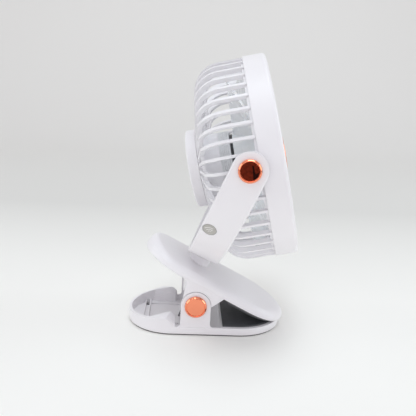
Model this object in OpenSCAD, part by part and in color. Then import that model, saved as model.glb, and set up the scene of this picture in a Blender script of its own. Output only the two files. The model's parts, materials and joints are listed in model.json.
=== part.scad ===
/* [Pose at rest] */
// Slope of the upper jaw, tail up and tip down
jaw_slope = 27.5; // [24:0.5:30]
// Lean of the yoke and of its swivel axis, forward from the vertical
yoke_lean = 23.2; // [18:0.1:28]
// Turn of the yoke about its swivel axis
rest_swivel = -6.2; // [-30:0.1:30]
// Tilt of the fan axis above the horizontal
rest_tilt = 13.1; // [0:0.1:30]

/* [Base] */
// Length of the base over its rim
base_len = 117.2; // [112:0.1:124]
// Width of the base over its rim
base_w = 67; // [65:0.5:72]
// Height of the rim along the sides and the tip
rim_h = 6.6; // [6:0.1:8]
// Height of the raised wall round the tail, at its high end
tail_h = 13.1; // [11:0.1:15]
// Drop of the raised wall towards the tail end
tail_fall = 3.2; // [0:0.1:4]
// Wall of the base
base_wall = 2; // [1.6:0.1:2.6]
// Floor of the tray, above the foot
tray_floor = 1.6; // [1.2:0.1:2.2]
// Thickness of the rubber foot
foot_t = 1.2; // [1:0.1:1.6]
// Place of the front end of the raised wall, behind the base's centre
drop_x = 22.1; // [20:0.1:24]
// Length of the curved drop from the raised wall to the rim
drop_len = 8; // [6:0.1:10]
// Place of the rear edge of the lower grip pad, ahead of the centre
pad_x = 13.3; // [11:0.1:17]
// How far the lower grip pad lies inside the rim
pad_inset = 3.2; // [2.6:0.1:5]
// How far the lower grip pad stands above the rim
pad_proud = 0.8; // [0.4:0.1:1.2]

/* [Clip hinge] */
// Place of the hinge axis behind the base's centre
hinge_back = 7.3; // [6:0.1:9]
// Height of the hinge axis above the table
hinge_h = 22.8; // [22:0.1:25]
// Radius of the ears that carry the hinge pin
ear_r = 11; // [10.4:0.1:11.6]
// Thickness of each ear
ear_t = 3; // [2.6:0.1:3.6]
// Radius of the hinge pin
pin_r = 2; // [1.6:0.1:2.4]
// Radius of a coil of the grip spring, to the wire's centre
spring_r = 4.4; // [4.2:0.1:4.8]
// Radius of the spring's wire
wire_r = 0.8; // [0.6:0.05:0.9]
// Number of coils of the grip spring
spring_coils = 7; // [5:1:9]

/* [Upper jaw] */
// Length of the upper jaw
jaw_len = 120.2; // [116:0.1:124]
// How far the jaw's side lies inside the base's side
jaw_side = 0.5; // [0:0.1:1]
// Centre of the upper jaw ahead of the hinge, along the jaw
jaw_ahead = 8.3; // [6:0.1:11]
// Height of the skirt's lower edge above the hinge axis
skirt_w = 14.8; // [14.4:0.1:16]
// Thickness of the jaw at its middle
jaw_t = 6.8; // [6:0.1:8]
// Width of the rounded band between the side and the top face
band = 6.5; // [5:0.1:8]
// Rise of the crowned top face
crown = 0.7; // [0.3:0.1:1.5]
// How far the tail end curls up
tail_curl = 6.4; // [4:0.1:8]
// Length of the part of the tail that curls up
curl_len = 29.7; // [26:0.1:34]
// Wall of the jaw shell
jaw_wall = 1.8; // [1.5:0.1:2.2]
// Thickness of the upper grip pad
grip_t = 2.2; // [1.6:0.1:2.4]

/* [Swivel] */
// Place of the swivel axis behind the hinge, along the jaw
swivel_back = 10.1; // [9:0.1:11]
// Height of the yoke's underside above the jaw's top edge
swivel_up = 7.5; // [7:0.1:9]
// Radius of the swivel boss on the jaw
boss_r = 8; // [7.4:0.1:9]
// Radius of the swivel stem
stem_r = 4; // [3.6:0.1:4.6]
// Wall of the bush round the stem
bush_wall = 1.1; // [0.9:0.1:1.4]

/* [Yoke] */
// Gap between the front ring's side and the yoke
yoke_gap = 3.9; // [3.7:0.1:6]
// Thickness of the yoke from the outer to the inner face
yoke_t = 3.9; // [3.6:0.1:4]
// Width of the yoke's band
yoke_w = 23.5; // [21:0.1:26]
// Wall of the yoke's outer shell
yoke_wall = 1.4; // [1.2:0.1:1.6]
// Thickness of the yoke's inner cover
cover_t = 1.1; // [0.9:0.1:1.2]
// Rounding of the yoke's outer edges
yoke_round = 1.2; // [0.6:0.1:1.4]
// Angle of the speed button, up from the bottom of the yoke
button_at = 54.5; // [45:0.5:65]
// Place of the speed button behind the middle of the band
button_back = 5.9; // [4:0.1:6.2]
// Radius of the speed button
button_r = 4.6; // [4:0.1:5]
// Travel of the speed button
button_travel = 0.5; // [0.3:0.05:0.6]

/* [Round caps] */
// Radius of the cap that covers each pivot of the yoke
cap_r = 7.4; // [6.8:0.1:8]
// Radius of the cap that covers each end of the hinge pin
hinge_cap_r = 8; // [7:0.1:8.6]
// How far a round cap stands proud
cap_proud = 2.4; // [1.6:0.1:3]
// Width of the raised rim round a cap's flat disc
cap_rim = 1.4; // [1:0.1:2]

/* [Fan head] */
// Outer radius of the front ring
ring_r = 74; // [73:0.1:74.2]
// Depth of the front ring
ring_d = 16.3; // [14:0.1:16.8]
// Place of the ring's rear edge ahead of the pivot axis
ring_x = 6.7; // [6:0.1:7]
// Wall of the front ring
ring_wall = 1.8; // [1.5:0.1:2.2]
// Rounding of the ring's front edge
ring_round = 2.6; // [2.2:0.1:3.5]
// How far the front ring stands out over the rear cage
ring_step = 0.7; // [0.6:0.1:1.4]
// Place where the cage starts to curve in, behind the pivot axis
cage_bend = 11.5; // [9:0.1:13]
// Radius of the cage's curved shoulder
cage_shoulder = 19.5; // [16:0.1:21]
// Slope of the cage's rear face
cage_slope = 11; // [6:0.5:14]
// Number of ribs of the cage
cage_ribs = 46; // [40:1:50]
// Width of a rib
rib_w = 2; // [1.6:0.1:2.2]
// Depth of a rib
rib_d = 3.2; // [2.4:0.1:4]
// Radius of the rear hub cap
hub_r = 29; // [27:0.1:31]
// How far the rear hub cap stands out behind the cage
hub_out = 7.8; // [6:0.1:10]
// Radius of the hoop that ties the ribs behind
hoop_r = 46; // [40:0.5:52]
// Number of bars of the front grille
grille_bars = 30; // [24:1:36]
// Radius of the centre cap on the grille
centre_r = 13.5; // [12:0.1:15]

/* [Motor and impeller] */
// Radius of the motor housing
motor_r = 23.4; // [22:0.1:24]
// Radius of the motor shaft
shaft_r = 1.5; // [1.2:0.1:2]
// Number of blades
blades = 5; // [3:1:7]
// Gap between the blade tips and the cage's ribs
tip_gap = 4.6; // [3:0.1:10]
// Thickness of a blade
blade_t = 1.4; // [1.1:0.1:1.8]

/* [Hidden] */
$fn = 64;

// Clearances
run = 0.05;         // radial running clearance of shafts and pins
seat = 0.1;         // gap between pieces that sit against each other
slip = 0.3;         // gap between pieces that slide past each other
eps = 0.5;          // overshoot of a cut

// Colours
shell_white = [0.93, 0.92, 0.94];
pad_black = [0.15, 0.15, 0.17];
rose_gold = [0.95, 0.56, 0.42];
steel = [0.72, 0.73, 0.75];

// Base
half_w = base_w / 2;
half_l = base_len / 2;
base_round = 1.8;               // rounding of the base's lower edge
rim_round = 0.8;                // rounding of the rim's upper edge
floor_z = foot_t + tray_floor;  // top of the tray's floor
foot_inset = 1.4;               // how far the foot lies inside the base
foot_sunk = 0.6;                // depth of the foot's recess in the base
deck_z = rim_h - 1.6;           // deck that carries the lower grip pad
bulkhead_t = 2;                 // cross wall behind the lower grip pad
pad_top = rim_h + pad_proud;
end_x = half_l - half_w;        // centre of the base's round ends
lobe_back = 20.7;               // length of the two lobes, behind the drop's front end
lobe_w = 7.8;                   // width of each lobe at its front end
lobe_rise = 2.4;                // rise of a lobe's inner edge over the wall
lobe_round = 4.5;               // rounding of a lobe's front end, seen from the side
lining_t = 0.7;                 // step of the lining inside each lobe
floor_rib_h = 2.5;              // height of the rib on the tray's floor
floor_rib_t = 1;
floor_rib_r = 2.4;              // outer radius of the rib's round ends
floor_rib_back = 45.2;          // place of the rib behind the base's centre
long_rib_y = 19;

// Clip hinge
hinge_x = -hinge_back;
ear_out = half_w - 0.5;         // outer face of an ear
ear_in = ear_out - ear_t;
cheek_out = ear_in - slip;      // outer face of a cheek of the jaw
cheek_t = 2.4;
cheek_in = cheek_out - cheek_t;
knuckle_r = ear_r - 0.5;        // round end of each cheek
cheek_recess = ear_r + slip;    // step in the neck that clears the ear
spring_half = (spring_coils * 2 * wire_r * 1.06) / 2;

// Upper jaw, in the hinge's frame: x along the jaw, z square to it
jaw_w = base_w - 2 * jaw_side;
jaw_b = jaw_w / 2;
jaw_a = jaw_len / 2;
jaw_top = skirt_w + jaw_t;      // edge of the top face
curl_to = jaw_ahead - jaw_a;    // tail end of the jaw
curl_from = curl_to + curl_len; // where the tail starts to curl up
tip_solid = 7;                  // solid plastic at the jaw's tip
tip_z = pad_top + slip;         // underside of the closed tip, level with the lower pad
outline_n = 64;                 // points round the jaw
neck_front = 15.2;              // front corner of the neck at the skirt
neck_foot = [9.9, 4.3];         // foot of the neck's front edge
neck_rear = -13.3;              // rear edge of the neck
neck_fillet = 6.9;
neck_wall = 1.6;                // rear wall of the neck, between the cheeks
cover_plate_t = 1.4;
jaw_screw_r = 1.1;
jaw_screw_x = [-28, 44];        // places of the cover's screws along the jaw
jaw_screw_y = 17;
jaw_post_r = 2.6;
cover_z = skirt_w + 0.2;        // underside of the bottom cover
tub_wall = 1.2;
tub_z = spring_r + wire_r + slip;  // underside of the battery tub
cell_play = 1;                  // play of the cell along the hinge axis
cell = [13, 2 * (cheek_in - seat - tub_wall - cell_play), 10];  // flat lithium cell
cell_x = -4.1;                  // rear face of the cell
board = [17, 19, 1.2];
board_z = cover_z + cover_plate_t + 0.6;
usb = [9, 9, 3.2];              // body of the charging inlet
usb_z = board_z + board[2] + seat + usb[2] / 2;
inlet_turn = 20;                // turn of the inlet away from the jaw's middle line
led_y = usb[1] / 2 + 1.4;       // near side of the light guide, beside the inlet

// Yoke, in the frame of the fan's pivot
yoke_in_r = ring_r + yoke_gap;
yoke_r = yoke_in_r + yoke_t;
cover_out_r = yoke_in_r + cover_t;
shell_in_r = cover_out_r + run;
pocket_r = yoke_r - yoke_wall;
boss_gap = 0.8;                 // gap under the yoke, above the swivel boss
boss_edge = 0.8;                // bevel round the top of the swivel boss
bush_l = 6.7;                   // length of the bush, from just under the yoke
washer_down = slip + bush_l + seat;
washer_t = 0.8;
swivel_nut_t = 2.2;
stem_down = washer_down + washer_t + seat + swivel_nut_t + 0.6;
stem_seat = yoke_wall + 0.4;    // seat of the stem's flange in the yoke

// Underside of the yoke on the swivel axis, and the pivot of the fan head above it
swivel_x = hinge_x - swivel_back * cos(jaw_slope) + (jaw_top + swivel_up) * sin(jaw_slope);
swivel_z = hinge_h + swivel_back * sin(jaw_slope) + (jaw_top + swivel_up) * cos(jaw_slope);
pivot_x = swivel_x + yoke_r * sin(yoke_lean);
pivot_z = swivel_z + yoke_r * cos(yoke_lean);
boss_head_r = 9.4;
boss_face = yoke_in_r - 1;      // outer face of the pivot bosses on the cage
washer_r = 7;
screw_r = 2;

// Fan head, along its own axis
shoulder_in = 0.15;             // how far the rear face cuts into the shoulder's arc
ring_front = ring_x + ring_d;
cage_r = ring_r - ring_step;
blade_r = cage_r - rib_d - tip_gap;
lip_r = ring_r - 7.5;
hub_face = cage_x(hub_r) - hub_out;
hub_wall = 1.6;
plate_t = 2.4;
pod_wall = 1.6;
pod_front = -20.3;
can_front = -12.2;
disc_front = -10.35;
rotor_r = motor_r - 2.1;
imp_front = 11;
imp_rear = -10.1;
bearing_r = 4;
bearing_w = 3;
stator_r = motor_r - pod_wall - seat;
magnet_r = 9;
nut_r = 4.6;
motor_screw_r = 1.2;

// ---------- frames ----------

module hinge_frame() {
    translate([hinge_x, 0, hinge_h]) rotate([0, jaw_slope, 0]) children();
}

module pivot_frame() {
    translate([pivot_x, 0, pivot_z]) rotate([0, yoke_lean, 0]) rotate([0, 0, rest_swivel])
        children();
}

// Swivel axis with the origin at the underside of the yoke
module swivel_frame() {
    pivot_frame() translate([0, 0, -yoke_r]) children();
}

// The fan's axis runs along +Z here, the pivot axis along +Y
module head_frame() {
    pivot_frame() rotate([0, -(rest_tilt + yoke_lean), 0]) rotate([0, 90, 0]) children();
}

// Copies a piece that points along -Y to both sides
module both_sides() {
    children();
    mirror([0, 1, 0]) children();
}

// ---------- shared shapes ----------

// Plan of the base, inset by d
module base_plan(d = 0) {
    for (s = [-1, 1]) translate([s * end_x, 0]) circle(half_w - d, $fn = 96);
    square([2 * end_x, 2 * (half_w - d)], center = true);
}

// Straight-sided slab of the base's plan
module base_slab(d, z0, z1) {
    translate([0, 0, z0]) linear_extrude(z1 - z0) base_plan(d);
}

// Slab of the base's plan from z0 to z1 with rounded edges
module base_body(z0, z1, low, top) {
    for (s = [-1, 1]) translate([s * end_x, 0, 0]) rotate_extrude($fn = 96)
        base_section(z0, z1, low, top);
    rotate([90, 0, 90]) translate([0, 0, -end_x]) linear_extrude(2 * end_x) {
        base_section(z0, z1, low, top);
        mirror([1, 0]) base_section(z0, z1, low, top);
    }
}

// Half section of that slab
module base_section(z0, z1, low, top) {
    translate([0, z0 + low]) square([half_w, z1 - z0 - low - top]);
    translate([0, z0]) square([half_w - max(low, top), z1 - z0]);
    for (q = [[low, z0 + low], [top, z1 - top]]) intersection() {
        translate([half_w - q[0], q[1]]) circle(q[0], $fn = 48);
        translate([half_w - max(low, top) - 0.01, z0]) square([max(low, top) + 0.01, z1 - z0]);
    }
}

// Side view of the tail's raised wall, extruded across the base
module tail_profile() {
    rotate([90, 0, 0]) translate([0, 0, -half_w - 1]) linear_extrude(base_w + 2)
        translate([-drop_x, 0])
            polygon(concat([[drop_x - half_l, tail_h - tail_fall], [drop_x - half_l, 0], [0, 0]],
                [for (t = [0 : 0.125 : 1])
                    [-drop_len * t, rim_h + (tail_h - rim_h) * (0.5 - 0.5 * cos(180 * t))]]));
}

// Round cap with a bevelled rim and a flat disc, pointing along +Z
module round_cap(r, proud, disc_r) {
    rotate_extrude()
        polygon([[0, -1.2], [r - 1.4, -1.2], [r - 1.4, 0], [r, 0], [r, proud * 0.45],
                 [r - 0.7, proud], [disc_r + 0.35, proud], [disc_r, proud - 0.5], [0, proud - 0.5]]);
}

// Pan-head screw, head up, origin under the head
module screw(r, l, head_r, head_h) {
    difference() {
        union() {
            translate([0, 0, -l]) cylinder(r = r, h = l + 0.01, $fn = 32);
            cylinder(r = head_r, h = head_h, $fn = 32);
        }
        for (a = [0, 90]) rotate(a)
            translate([-head_r * 0.6, -0.3, head_h * 0.4]) cube([head_r * 1.2, 0.6, head_h]);
    }
}

// ---------- base ----------

module base_tray() {
    color(shell_white) difference() {
        union() {
            base_body(foot_t - foot_sunk, rim_h, base_round, rim_round);
            intersection() {
                base_body(foot_t - foot_sunk, tail_h, base_round, rim_round);
                tail_profile();
            }
            both_sides() {
                ear();
                lobe();
            }
        }
        translate([0, 0, -eps]) linear_extrude(foot_t + eps) base_plan(foot_inset);
        difference() {
            base_slab(base_wall, floor_z, tail_h + eps);
            translate([pad_x - bulkhead_t, -half_w, 0]) cube([half_l, base_w, tail_h + 1]);
            both_sides() lobe();
        }
        intersection() {
            base_slab(pad_inset - seat, deck_z, rim_h + eps);
            translate([pad_x - seat, -half_w, 0]) cube([half_l, base_w, rim_h + 1]);
        }
        hinge_bore();
        // slot in the floor, inside the far end of the rib
        translate([-floor_rib_back, long_rib_y - 2.5, 0]) linear_extrude(floor_z + 1)
            translate([-floor_rib_r + floor_rib_t, 0]) square([2 * (floor_rib_r - floor_rib_t), 6]);
    }
    color(shell_white) intersection() {
        union() {
            translate([-floor_rib_back, 0, floor_z - 0.1]) linear_extrude(floor_rib_h + 0.1) difference() {
                rib_loop(floor_rib_r);
                rib_loop(floor_rib_r - floor_rib_t);
            }
            for (y = [-long_rib_y, long_rib_y])
                translate([-floor_rib_back + floor_rib_r, y - floor_rib_t / 2, floor_z - 0.1])
                    cube([floor_rib_back - drop_x, floor_rib_t, 1]);
        }
        base_slab(base_wall - 0.2, floor_z - 1, tail_h);
    }
}

// Plan of the rib across the tail: a long loop from wall to wall
module rib_loop(r) {
    y = sqrt(pow(half_w - base_wall, 2) - pow(floor_rib_back - end_x, 2)) - floor_rib_r;
    square([2 * r, 2 * y], center = true);
    for (s = [-1, 1]) translate([0, s * y]) circle(r, $fn = 48);
}

// Ear that carries one end of the hinge pin
module ear() {
    translate([hinge_x, -ear_out, 0]) rotate([-90, 0, 0]) linear_extrude(ear_t) {
        translate([0, -hinge_h]) circle(ear_r);
        translate([-ear_r, -hinge_h]) square([2 * ear_r, hinge_h - rim_h + 0.6]);
        // fillets where the ear meets the rim
        for (s = [-1, 1]) difference() {
            translate([s > 0 ? ear_r - 0.01 : -ear_r - 2.5, -rim_h - 2.5]) square([2.51, 3.1]);
            translate([s * (ear_r + 2.5), -rim_h - 2.5]) circle(2.5);
        }
    }
}

// Thick lobe at the front end of the raised wall, with a lining inside it
module lobe() {
    translate([-drop_x, -half_w, 0]) difference() {
        union() {
            lobe_part(lobe_w, [[-lobe_back, wall_z(lobe_back) - 0.2], [-lobe_round, tail_h + lobe_rise]],
                      lobe_round);
            lobe_part(lobe_w + lining_t, [[-lobe_back, floor_z + 2.6], [-lobe_round, floor_z + 8],
                      [-1, floor_z + 8]], 0);
        }
        // the outer front corner is planed down along the drop in two steps
        above([-7, 0, tail_h], [-4.5, 0, tail_h - 1.8], [-3.3, lobe_w, tail_h + 2.2]);
        above([-4.5, 0, tail_h - 1.8], [-0.7, 0, rim_h + 0.8], [-1.5, lobe_w, tail_h + 1]);
    }
}

// Height of the tail's wall at a distance behind the front end of the drop
function wall_z(x) = tail_h - tail_fall * (x - drop_len) / (half_l - drop_x - drop_len);

// Part of a lobe: w wide, under the line of points in top, with a rounded front corner
module lobe_part(w, top, round) {
    intersection() {
        rotate([90, 0, 0]) translate([0, 0, -w]) linear_extrude(w) {
            polygon(concat([[-lobe_back, floor_z - 0.5]], top, [[top[len(top) - 1][0], floor_z - 0.5]]));
            if (round > 0) {
                translate([-round - 0.01, floor_z - 0.5])
                    square([round + 0.01, top[1][1] - round - floor_z + 0.5]);
                translate([-round, top[1][1] - round]) circle(round);
            }
        }
        linear_extrude(tail_h + 10)
            polygon([[-lobe_back, 0], [-lobe_back, w - 2], [-lobe_round, w], [-1, w], [0, w - 1], [0, 0]]);
        // the top falls away to the outside
        translate([-lobe_back, rim_round / 3, tail_h]) rotate([atan(lobe_rise / lobe_w), 0, 0])
            translate([0, -2, -tail_h - 5]) cube([lobe_back, w + 6, tail_h + 5]);
        translate([drop_x, half_w, 0]) base_slab(rim_round / 3, 0, tail_h + 10);
    }
}

// Everything above the plane through three points
module above(a, b, c) {
    n = cross(b - a, c - a);
    translate(a) rotate([0, acos(n[2] / norm(n)), atan2(n[1], n[0])])
        translate([-half_w, -half_w, 0]) cube([base_w, base_w, base_w]);
}

module hinge_bore() {
    translate([hinge_x, 0, hinge_h]) rotate([90, 0, 0])
        cylinder(r = pin_r + run, h = base_w + 2, center = true, $fn = 48);
}

module base_pad() {
    color(pad_black) intersection() {
        union() {
            base_slab(pad_inset, deck_z + seat, pad_top - 0.5);
            base_slab(pad_inset + 0.4, deck_z + seat, pad_top);
        }
        translate([pad_x, -half_w, 0]) cube([half_l, base_w, rim_h + 5]);
    }
}

module foot_pad() {
    color(pad_black) base_slab(foot_inset + seat, 0, foot_t - 0.05);
}

module hinge_pin() {
    color(steel) translate([hinge_x, 0, hinge_h]) rotate([90, 0, 0])
        cylinder(r = pin_r, h = 2 * (ear_out + 0.4), center = true, $fn = 48);
}

module hinge_caps() {
    color(rose_gold) both_sides() translate([hinge_x, -ear_out - seat, hinge_h]) rotate([90, 0, 0])
        difference() {
            cap_body(hinge_cap_r);
            translate([0, 0, -eps]) cylinder(r = pin_r + run, h = 1.1 + eps, $fn = 48);
        }
}

// Cap with a flat back
module cap_body(r) {
    intersection() {
        round_cap(r, cap_proud, r - cap_rim);
        cylinder(r = r + 1, h = cap_proud + 1);
    }
}

// Wire along a list of points, as one closed tube
function ring_at(p, t, r, n) =
    let(up = abs(t[1]) > 0.9 ? [1, 0, 0] : [0, 1, 0], a = cross(t, up), u = a / norm(a), v = cross(u, t))
    [for (k = [0 : n - 1]) p + r * (cos(360 * k / n) * u + sin(360 * k / n) * v)];

module wire(path, r, n = 6) {
    m = len(path);
    tangents = [for (i = [0 : m - 1])
        let(d = path[min(i + 1, m - 1)] - path[max(i - 1, 0)]) d / norm(d)];
    points = [for (i = [0 : m - 1]) each ring_at(path[i], tangents[i], r, n)];
    faces = concat(
        [for (i = [0 : m - 2], k = [0 : n - 1])
            [i * n + k, i * n + (k + 1) % n, (i + 1) * n + (k + 1) % n, (i + 1) * n + k]],
        [[for (k = [n - 1 : -1 : 0]) k]],
        [[for (k = [0 : n - 1]) (m - 1) * n + k]]);
    polyhedron(points, faces);
}

// Torsion spring on the hinge pin: one leg on the tray's floor, one under the jaw's cover
module grip_spring() {
    foot = [-12.5, floor_z + wire_r + seat - hinge_h];
    // end of the other leg, in the jaw's neck
    hu = neck_rear + neck_wall + wire_r + 0.8;
    hw = cover_z - wire_r - seat;
    head = [hu * cos(jaw_slope) + hw * sin(jaw_slope), -hu * sin(jaw_slope) + hw * cos(jaw_slope)];
    // angles at which the legs leave the coil
    a0 = atan2(foot[1], foot[0]) - acos(spring_r / norm(foot)) + 360;
    a1 = atan2(head[1], head[0]) + acos(spring_r / norm(head));
    sweep = a0 - a1 + 360 * spring_coils;
    n = 12 * spring_coils;
    coil = [for (k = [0 : n])
        let(a = a0 - sweep * k / n)
        [spring_r * cos(a), spring_half * (2 * k / n - 1), spring_r * sin(a)]];
    color(steel) translate([hinge_x, 0, hinge_h])
        wire(concat([[foot[0], -spring_half, foot[1]]], coil, [[head[0], spring_half, head[1]]]), wire_r);
}

// ---------- upper jaw ----------

// Point k of n on the jaw's plan, inset by d and shortened at the tip
function jaw_point(k, n, d, short) =
    let(a = 360 * (k + 0.5) / n, s = jaw_a - jaw_b)
    [jaw_ahead + (cos(a) > 0 ? s - short : -s) + (jaw_b - d) * cos(a), (jaw_b - d) * sin(a)];

// Lift of the tail at x
function curl(x) =
    x >= curl_from ? 0 : tail_curl * pow((curl_from - x) / (curl_from - curl_to), 2);

// Inset and height of each ring of the jaw's outer skin, from the skirt to the crown
skin = [for (a = [0 : 15 : 90])
            [band * (1 - cos(a)), skirt_w + 1.6 + (jaw_t - 1.6) * sin(a), sin(a)]];
outer_rings = concat([[0.5, skirt_w, 0], [0, skirt_w + 0.8, 0]], skin,
    [for (f = [0.3 : 0.35 : 1])
        [band + (jaw_b - band - 1) * f, jaw_top + crown * (1 - pow(1 - f, 2)), 1]]);
inner_rings = concat([[jaw_wall, skirt_w - 3, 0]],
    [for (a = [0 : 30 : 90]) [jaw_wall + (band - 0.6) * (1 - cos(a)),
                              skirt_w + 1.4 + (jaw_t - 1.4 - jaw_wall) * sin(a), sin(a)]],
    [[jaw_b - 1, jaw_top - jaw_wall + crown, 1]]);

// Solid bounded by rings of the jaw's plan
module ring_loft(rings, n, short = 0) {
    m = len(rings);
    points = [for (q = rings, k = [0 : n - 1])
        let(p = jaw_point(k, n, q[0], short)) [p[0], p[1], q[1] + q[2] * curl(p[0])]];
    faces = concat(
        [for (i = [0 : m - 2], k = [0 : n - 1])
            [i * n + k, (i + 1) * n + k, (i + 1) * n + (k + 1) % n, i * n + (k + 1) % n]],
        [[for (k = [0 : n - 1]) k]],
        // the last ring is closed by strips across the middle
        [for (k = [0 : n / 2 - 2])
            [(m - 1) * n + k, (m - 1) * n + n - 1 - k, (m - 1) * n + n - 2 - k, (m - 1) * n + k + 1]]);
    polyhedron(points, faces);
}

// Side view of the neck: a trapezium that ends round the hinge
module neck_view(top) {
    circle(knuckle_r);
    polygon([[neck_rear, top], [neck_rear, skirt_w - neck_fillet], [-ear_r, 0], [knuckle_r, 0],
             neck_foot, [neck_front, skirt_w], [neck_front, top]]);
}

module neck_plate(y0, y1, top) {
    translate([0, y1, 0]) rotate([90, 0, 0]) linear_extrude(y1 - y0) neck_view(top);
}

module jaw_shell() {
    color(shell_white) hinge_frame() difference() {
        union() {
            difference() {
                ring_loft(outer_rings, outline_n);
                ring_loft(inner_rings, outline_n / 2, tip_solid);
            }
            both_sides() {
                neck_plate(-cheek_out, -cheek_in, jaw_top - 1);
                difference() {
                    neck_plate(-jaw_b + 0.3, -cheek_out + 0.01, skirt_w + 1);
                    rotate([90, 0, 0]) cylinder(r = cheek_recess, h = base_w);
                }
                neck_corner();
            }
            translate([neck_rear, -cheek_in - 0.1, 4.6])
                cube([neck_wall, 2 * cheek_in + 0.2, cover_z - 4.6 - seat]);
            swivel_boss();
            at_jaw_screws() translate([0, 0, cover_plate_t + seat])
                cylinder(r = jaw_post_r, h = jaw_top - 1 - cover_z - cover_plate_t - seat, $fn = 32);
        }
        tip_cut();
        at_jaw_screws() cylinder(r = jaw_screw_r + 0.01, h = 4.2, $fn = 32);
        rotate([90, 0, 0]) cylinder(r = pin_r + run, h = base_w + 2, center = true, $fn = 48);
        in_hinge_frame() swivel_frame() {
            translate([0, 0, -16]) cylinder(r = stem_r + run + bush_wall + seat, h = 30, $fn = 48);
            translate([0, 0, -30 - washer_down]) cylinder(r = stem_r + 2.4, h = 30, $fn = 48);
        }
        at_inlet() {
            translate([-2, -usb[1] / 2 - seat, usb_z - usb[2] / 2 - seat])
                cube([8, usb[1] + 2 * seat, usb[2] + 2 * seat]);
            translate([-2, led_y - seat, usb_z - 1]) cube([8, 2, 2]);
        }
    }
}

// What the closed jaw's tip must clear: everything below the lower pad's level
module tip_cut() {
    in_hinge_frame() translate([pad_x, -jaw_b - 1, 0]) cube([base_len, jaw_w + 2, tip_z]);
}

// Frame of the charging inlet, on the tail's rim and pointing inward along +X
module at_inlet() {
    translate([jaw_ahead - jaw_a + jaw_b, 0, 0]) rotate(-inlet_turn) translate([-jaw_b, 0, 0]) children();
}

// Maps shapes placed in the object's frame into the hinge's frame
module in_hinge_frame() {
    rotate([0, -jaw_slope, 0]) translate([-hinge_x, 0, -hinge_h]) children();
}

// Curved corner between the skirt and the rear edge of the neck
module neck_corner() {
    r = neck_fillet;
    translate([0, -cheek_in, 0]) rotate([90, 0, 0]) linear_extrude(jaw_b - 0.3 - cheek_in)
        translate([neck_rear - r, skirt_w - r]) difference() {
            square([r + 0.1, r + 1]);
            circle(r);
        }
}

module swivel_boss() {
    intersection() {
        in_hinge_frame() swivel_frame() translate([0, 0, -boss_gap]) rotate_extrude()
            polygon([[0, -2 * boss_r], [boss_r, -2 * boss_r], [boss_r, -boss_edge], [boss_r - boss_edge, 0],
                     [0, 0]]);
        translate([-swivel_back - 2 * boss_r, -boss_r, jaw_top - jaw_wall])
            cube([4 * boss_r, 2 * boss_r, swivel_up + 2 * boss_r]);
    }
}

// Bottom cover with the battery tub in the neck
module jaw_cover() {
    color(shell_white) hinge_frame() {
        difference() {
            union() {
                translate([0, 0, cover_z]) linear_extrude(cover_plate_t) jaw_plan(jaw_wall + slip, tip_solid);
                tub(0, cover_z + 0.1);
            }
            tub(tub_wall, cover_z + cover_plate_t + eps);
            both_sides() translate([neck_rear - neck_fillet - seat, -jaw_b, cover_z - 1])
                cube([neck_front - neck_rear + neck_fillet + 2 * seat, jaw_b - cheek_in + seat, 5]);
            at_jaw_screws() cylinder(r = jaw_screw_r + run, h = 10, center = true, $fn = 32);
        }
    }
}

// Plan of the jaw, inset by d and shortened at the tip
module jaw_plan(d, short = 0) {
    s = jaw_a - jaw_b;
    translate([jaw_ahead - s, -jaw_b + d]) square([2 * s - short, 2 * (jaw_b - d)]);
    for (x = [-s, s - short]) translate([jaw_ahead + x, 0]) circle(jaw_b - d, $fn = 96);
}

// Box between the cheeks, inset by d
module tub(d, top) {
    y = cheek_in - seat - d;
    x0 = cell_x - slip - tub_wall + d;
    rotate([90, 0, 0]) translate([0, 0, -y]) linear_extrude(2 * y)
        polygon([[x0, tub_z + d], [x0, top], [neck_front - 0.6 - d, top],
                 [neck_front - 0.6 - d, skirt_w], [neck_foot[0] + 0.3 - d, tub_z + d]]);
}

module jaw_pad() {
    color(pad_black) hinge_frame() intersection() {
        translate([0, 0, skirt_w - seat - grip_t]) linear_extrude(grip_t) jaw_plan(pad_inset);
        difference() {
            translate([neck_front + 4, -jaw_b, 0]) cube([jaw_a, jaw_w, 40]);
            // hollows for the heads of the cover's screws
            at_jaw_screws() translate([0, 0, -1.1 - slip]) cylinder(r = 2 + slip, h = 3);
            tip_cut();
        }
    }
}

module battery_cell() {
    color("steelblue") hinge_frame() translate([cell_x, -cell[1] / 2, tub_z + tub_wall + slip]) {
        translate([0, 2, 0]) cube([cell[0], cell[1] - 2, cell[2]]);
        // terminal end
        translate([1, 0, 1]) cube([cell[0] - 2, 2.1, cell[2] - 2]);
    }
}

module charge_board() {
    color("darkgreen") hinge_frame() at_inlet() translate([usb[0] - 2, -board[1] / 2, board_z]) cube(board);
}

module usb_socket() {
    color(steel) hinge_frame() at_inlet() translate([0.8, -usb[1] / 2, usb_z - usb[2] / 2]) difference() {
        cube(usb);
        translate([-eps, 0.3, 0.3]) cube([usb[0] - 2, usb[1] - 0.6, usb[2] - 0.6]);
    }
}

module charge_led() {
    color([0.6, 0.9, 0.7]) hinge_frame() at_inlet() translate([0.8, led_y, usb_z - 0.9]) cube([5, 1.8, 1.8]);
}

module swivel_bush() {
    color([0.6, 0.6, 0.62]) swivel_frame() translate([0, 0, -slip - bush_l]) difference() {
        cylinder(r = stem_r + run + bush_wall, h = bush_l, $fn = 48);
        translate([0, 0, -eps]) cylinder(r = stem_r + run, h = bush_l + 1, $fn = 48);
    }
}

// Places of the four screws that hold the bottom cover, on its underside
module at_jaw_screws() {
    for (x = jaw_screw_x, s = [-1, 1]) translate([x, s * jaw_screw_y, cover_z]) children();
}

module jaw_screws() {
    color(steel) hinge_frame() at_jaw_screws() translate([0, 0, -run]) rotate([180, 0, 0])
        screw(jaw_screw_r, 3.4, 2, 1.1);
}

// ---------- yoke ----------

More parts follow.
